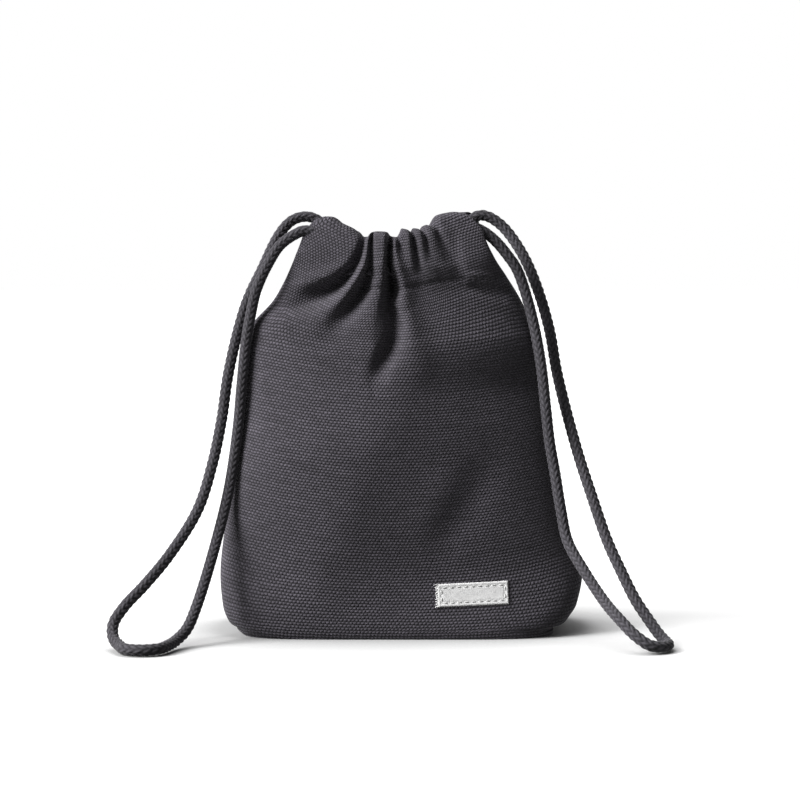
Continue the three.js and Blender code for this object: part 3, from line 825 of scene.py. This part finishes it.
def add_lining(name, side, material, node):
    """Inner cloth, from the casing's stitch line down to the seam inside the base."""
    s = shares_across(LINING_COLUMNS)
    rows, level = [], []
    for share in np.linspace(0, 1, LINING_ROWS):
        z = np.full_like(s, LINING_INSET + (STITCH_HEIGHT - LINING_INSET) * (1 - share))
        left, right = left_seam(z) + LINING_INSET, right_seam(z) - LINING_INSET
        x = left + (right - left) * (s + 1) / 2
        neck = LINING_NECK + LINING_TAPER * (STITCH_HEIGHT + LINING_NECK - z)
        depth = np.minimum(half_depth(z) - LINING_INSET, neck) - crest_fall(side, x, z)
        relief = np.minimum(0, cloth_relief(side, x, z)) * (1 - np.abs(s) ** SEAM_POWER)
        depth = depth * section(side, s, z) + relief
        rows.append(np.stack([x, side * np.maximum(LEAST_DEPTH, depth), z], -1))
        level.append(z)
    floor = rows[-1].copy()
    for spread in np.linspace(1, 0, LINING_BASE_ROWS)[1:]:
        points = floor.copy()
        points[:, 1] = side * np.maximum(LEAST_DEPTH, spread * np.abs(floor[:, 1]))
        rows.append(points)
        level.append(floor[:, 2] - (1 - spread) * np.abs(floor[:, 1]))
    rows, level = np.array(rows), np.array(level)
    piece = add_woven(name, side, rows, rows[..., 0], level, np.zeros_like(level), material)
    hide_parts(node)


# Cords

def braid(angle, far):
    """Relief from 0 to 1 of a braid, two over and two under, at an angle and a distance along."""
    a = BRAID_STRANDS * angle / (2 * np.pi) + far / BRAID_PITCH
    b = BRAID_STRANDS * angle / (2 * np.pi) - far / BRAID_PITCH
    i, j = np.floor(a), np.floor(b)

    def strand(offset, turn):
        profile = np.sqrt(np.maximum(0, 1 - (STRAND_NARROWING * (offset - 0.5)) ** 2))
        return profile * (STRAND_LOW + (1 - STRAND_LOW) * np.sin(np.pi / 2 * turn))

    return np.maximum(strand(a - i, b + i), strand(b - j, a + j + 2))


def add_cord(name, path, material):
    path = smooth_path(path, CORD_STEP)
    far = CORD_STEP * np.arange(len(path))[:, None]
    angle = (2 * np.pi * np.arange(CORD_SIDES) / CORD_SIDES)[None]
    relief = braid(angle, far)
    radius = CORD_CREST - BRAID_DEPTH * (1 - relief)
    # The relief also goes to the material, where it paints shade into the braid's gaps and highlight onto
    # the strands.
    piece = add_tube(name, path, radius, CORD_SIDES, material, {"relief": relief.ravel()})
    return piece, path


def run_points(exit_point, inner_x, drops):
    """Points on a run's line: hidden ones, then the exit."""
    exit_point = np.array(exit_point)
    along = exit_point - (inner_x, exit_point[1], RUN_INNER_Z)
    along /= np.linalg.norm(along)
    inside = zip((CORD_HIDDEN, CORD_HIDDEN / 2), drops)
    return [*(exit_point - along * far - (0, 0, drop) for far, drop in inside), exit_point]


def add_drawcord(name, route, exits, inner_x, material):
    back = run_points(exits[0], inner_x, BACK_HIDDEN_DROPS)
    front = run_points(exits[1], inner_x, FRONT_HIDDEN_DROPS)
    piece, path = add_cord(f"{name}_drawcord", [*back, *route, *front[::-1]], material)
    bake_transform(piece)
    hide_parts(*(f"{name}_drawcord_{part}" for part in ("loop", "front_run", "back_run")))
    smooth_path(path, CORD_PATH_STEP).tolist()


def add_crossing(name, x, half, way, material):
    """The part of a drawcord that turns from one casing to the other, in the slit on its far side."""
    inner = x + way * CROSSING_BEND
    side = [
        (inner + way * CROSSING_REACH, half, CROSSING_Z + CROSSING_RISE),
        (inner, half, CROSSING_Z),
    ]
    for angle in (math.pi / 6, math.pi / 3, math.pi / 2):
        turn_x = x + way * CROSSING_BEND * (1 - math.sin(angle))
        turn_y = half - CROSSING_BEND * (1 - math.cos(angle))
        side.append((turn_x, turn_y, CROSSING_Z))
    path = side + [(px, -py, pz) for px, py, pz in side[::-1]]
    piece, _ = add_cord(f"{name}_crossing", path, material)
    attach(piece, "pouch")
    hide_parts(f"{name}_drawcord_crossing")


# Threads

def add_stitches(name, starts, ends, normals, radius, material):
    """A row of stitches: short bowed threads between points on the cloth, in millimetres."""
    shares, lifts = np.array(STITCH_BOW).T
    points, faces = [], []
    for start, end, normal in zip(starts, ends, normals):
        middle = start + (end - start) * shares[:, None] + normal * radius * lifts[:, None]
        along = (end - start) / np.linalg.norm(end - start)
        across = np.cross(along, normal)
        across /= np.linalg.norm(across)
        angle = 2 * np.pi * np.arange(THREAD_SIDES) / THREAD_SIDES
        ring = across * np.cos(angle)[:, None] + np.cross(across, along) * np.sin(angle)[:, None]
        faces += tube_faces(len(shares), THREAD_SIDES, len(points) * len(shares) * THREAD_SIDES)
        points.append((middle[:, None] + radius * ring).reshape(-1, 3))
    piece = add_mesh(name, np.vstack(points) * MM, faces, material)
    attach(piece, "pouch")
    return piece


def add_casing_stitches(name, side, material):
    """The line of stitches that closes the casing."""
    first, last = STITCH_LINE[0][0] + CASING_STITCH_END, STITCH_LINE[-1][0] - CASING_STITCH_END
    x = np.arange(first, last, CASING_STITCH)
    reach = CASING_STITCH_FILL * CASING_STITCH

    def place(across):
        z = stitch_line(across)
        return share_across(across, z), z

    starts = wall(side, *place(x))
    ends = wall(side, *place(x + reach))
    normals = wall_normal(side, *place(x + reach / 2))
    piece = add_stitches(name, starts, ends, normals, THREAD_RADIUS, material)


# Label

def label_point(u, v, lift):
    """A point of the label: u and v are millimetres from its middle, lift is off the cloth."""
    x = LABEL_X + u * math.cos(LABEL_TILT) - v * math.sin(LABEL_TILT)
    z = LABEL_Z + u * math.sin(LABEL_TILT) + v * math.cos(LABEL_TILT)
    s = share_across(x, z)
    return wall(FRONT, s, z) + wall_normal(FRONT, s, z) * np.asarray(lift)[..., None]


def add_label(material):
    columns, rows = LABEL_COLUMNS, LABEL_ROWS
    u, v = np.meshgrid(np.linspace(-0.5, 0.5, columns), np.linspace(-0.5, 0.5, rows))
    fray = 0.35 * np.sin(v * 61) * np.sin(v * 23 + 1) + 0.25 * np.sin(v * 97)
    left = smoothstep(-u, 0.44, 0.5)
    across = u * LABEL_WIDTH - fray * left
    ripple = 0.06 * np.sin(u * 190) * smoothstep(np.abs(v), 0.42, 0.5)
    up = v * LABEL_HEIGHT + ripple
    edge = np.minimum(LABEL_WIDTH * (0.5 - np.abs(u)), LABEL_HEIGHT * (0.5 - np.abs(v)))
    inset = np.abs(edge - LABEL_STITCH_INSET)
    dent = 0.16 * np.exp(-((inset / 0.45) ** 2))
    crown = 0.15 + LABEL_THICKNESS * np.sqrt(np.clip(edge / 0.5, 0, 1)) - dent
    top = label_point(across, up, crown)
    bottom = label_point(across, up, 0 * crown - 0.1)
    cloth = np.stack([across, up, 0 * up], -1)
    count = rows * columns
    ring = np.concatenate([
        np.arange(columns), np.arange(2 * columns - 1, count, columns),
        np.arange(count - 2, count - columns - 1, -1), np.arange(count - 2 * columns, 0, -columns),
    ])
    after = np.roll(ring, -1)
    skirt = np.stack([ring + count, after + count, after, ring], -1)
    faces = np.vstack([grid_faces(rows, columns), grid_faces(rows, columns)[:, ::-1] + count, skirt])
    points = np.concatenate([top.reshape(-1, 3), bottom.reshape(-1, 3)])
    piece = add_mesh(
        "label_tape", points * MM, faces, material, {"cloth": np.tile(cloth.reshape(-1, 3), (2, 1))},
    )
    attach(piece, "pouch")
    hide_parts("label")


def add_label_stitches(thread):
    """The line of stitches that runs round the label, inside its edge."""
    half_u, half_v = LABEL_WIDTH / 2 - LABEL_STITCH_INSET, LABEL_HEIGHT / 2 - LABEL_STITCH_INSET
    corners = [(-half_u, -half_v), (half_u, -half_v), (half_u, half_v), (-half_u, half_v)]
    starts, ends = [], []
    for corner, following in zip(corners, corners[1:] + corners[:1]):
        corner, following = np.array(corner), np.array(following)
        count = round(np.linalg.norm(following - corner) / LABEL_STITCH)
        for i in range(count):
            starts.append(corner + (following - corner) * (i + LABEL_STITCH_START) / count)
            ends.append(corner + (following - corner) * (i + LABEL_STITCH_STOP) / count)
    starts, ends = np.array(starts), np.array(ends)
    lift = np.full(len(starts), LABEL_THICKNESS + 0.02)
    low, high = label_point(*starts.T, lift), label_point(*ends.T, lift)
    normals = label_point(*starts.T, lift + 1) - low
    stitches = add_stitches("label_stitches", low, high, normals, THREAD_RADIUS, thread)


def add_label_fray(thread):
    """Loose threads at the label's left end, of uneven length."""
    v = np.linspace(-0.5, 0.5, FRAY_THREADS) * LABEL_HEIGHT
    uneven = 0.45 + 0.55 * np.sin(5.3 * v + 0.8) ** 2
    longer = FRAY_LENGTH * (uneven + 0.5 * smoothstep(np.abs(v), 3.4, 4.3))
    starts = np.stack([np.full_like(v, 0.4 - LABEL_WIDTH / 2), v])
    ends = starts + np.stack([-0.4 - longer, 0.5 * np.sin(7.1 * v)])
    low = label_point(*starts, np.full_like(v, LABEL_THICKNESS - 0.1))
    high = label_point(*ends, 0.45 + 0.25 * np.sin(3.7 * v))
    normals = label_point(*starts, np.full_like(v, 1.4)) - label_point(*starts, np.full_like(v, 0.4))
    fray = add_stitches("label_fray", low, high, normals, FRAY_RADIUS, thread)


# Stage

def add_sun(name, towards, strength, softness):
    """A distant soft light that shines from the given direction."""
    data = bpy.data.lights.new(name, "SUN")
    data.energy = strength
    data.angle = math.radians(softness)
    light = bpy.data.objects.new(name, data)
    light.rotation_mode = "QUATERNION"
    light.rotation_quaternion = (-Vector(towards)).to_track_quat("-Z", "Y")
    bpy.context.scene.collection.objects.link(light)


def add_stage():
    half = FLOOR_HALF
    look = Look("studio_floor", 0.9, specular=0.1)
    look.shader.inputs["Base Color"].default_value = (FLOOR_GREY, FLOOR_GREY, FLOOR_GREY, 1)
    look.shader.inputs["Emission Color"].default_value = (1, 1, 1, 1)
    # Occlusion dims the floor's glow near the object: a painted contact shadow.
    near = look.node("ShaderNodeAmbientOcclusion")
    near.inputs["Distance"].default_value = CONTACT_REACH
    glow = look.ramp(near.outputs["AO"], 0.0, FLOOR_GLOW, 0.55, 0.98)
    look.give(look.shader.inputs["Emission Strength"], glow)
    corners = [(-half, -half, 0), (half, -half, 0), (half, half, 0), (-half, half, 0)]
    floor = add_mesh("floor", corners, [(0, 1, 2, 3)], look.material)
    floor.visible_diffuse = False

    world = bpy.data.worlds.new("studio")
    world.use_nodes = True
    nodes, links = world.node_tree.nodes, world.node_tree.links
    fill = nodes["Background"]
    fill.inputs["Color"].default_value = (1, 1, 1, 1)
    fill.inputs["Strength"].default_value = FILL_LIGHT
    backdrop = nodes.new("ShaderNodeBackground")
    backdrop.inputs["Color"].default_value = (1, 1, 1, 1)
    seen = nodes.new("ShaderNodeLightPath")
    mix = nodes.new("ShaderNodeMixShader")
    links.new(seen.outputs["Is Camera Ray"], mix.inputs[0])
    links.new(fill.outputs[0], mix.inputs[1])
    links.new(backdrop.outputs[0], mix.inputs[2])
    links.new(mix.outputs[0], nodes["World Output"].inputs["Surface"])
    scene = bpy.context.scene
    scene.world = world
    scene.view_settings.view_transform = "Standard"
    for sun in SUNS:
        add_sun(*sun)


def add_camera():
    data = bpy.data.cameras.new("camera")
    data.lens = LENS
    data.sensor_width = SENSOR
    camera = bpy.data.objects.new("camera", data)
    bpy.context.scene.collection.objects.link(camera)
    back = Vector((0, -math.cos(CAMERA_ELEVATION), math.sin(CAMERA_ELEVATION)))
    camera.location = CAMERA_TARGET + back * CAMERA_DISTANCE
    camera.rotation_mode = "QUATERNION"
    camera.rotation_quaternion = (-back).to_track_quat("-Z", "Y")
    bpy.context.scene.camera = camera


add_camera()
add_stage()

canvas = woven_look("charcoal_canvas", (0.08, 0.073, 0.088), FLOAT_PITCH, WEFT_PITCH, 0.00045, 0.92, 0.05)
lining_cloth = woven_look("lining_cloth", (0.05, 0.046, 0.055), 0.7, 0.55, 0.0001, 0.85, 0.05)
cotton = cord_look()
tape = label_look()
dark_thread = thread_look("dark_thread", (0.05, 0.047, 0.054))
pale_thread = thread_look("pale_thread", (0.62, 0.62, 0.61))
white_thread = thread_look("white_thread", (0.93, 0.925, 0.92))

add_drawcord("left", LEFT_LOOP, LEFT_EXITS, LEFT_RUN_INNER_X, cotton)
add_drawcord("right", RIGHT_LOOP, RIGHT_EXITS, RIGHT_RUN_INNER_X, cotton)
add_crossing("left", LEFT_CROSSING_X, LEFT_EXITS[0][1], -1, cotton)
add_crossing("right", RIGHT_CROSSING_X, RIGHT_EXITS[0][1], 1, cotton)

add_cloth("front_cloth", FRONT, canvas, ("front_panel", "front_casing"))
add_cloth("back_cloth", BACK, canvas, ("back_panel", "back_casing"))
add_lining("front_inner_cloth", FRONT, lining_cloth, "front_lining")
add_lining("back_inner_cloth", BACK, lining_cloth, "back_lining")
add_casing_stitches("front_casing_stitches", FRONT, dark_thread)
add_casing_stitches("back_casing_stitches", BACK, dark_thread)
add_label(tape)
add_label_stitches(pale_thread)
add_label_fray(white_thread)
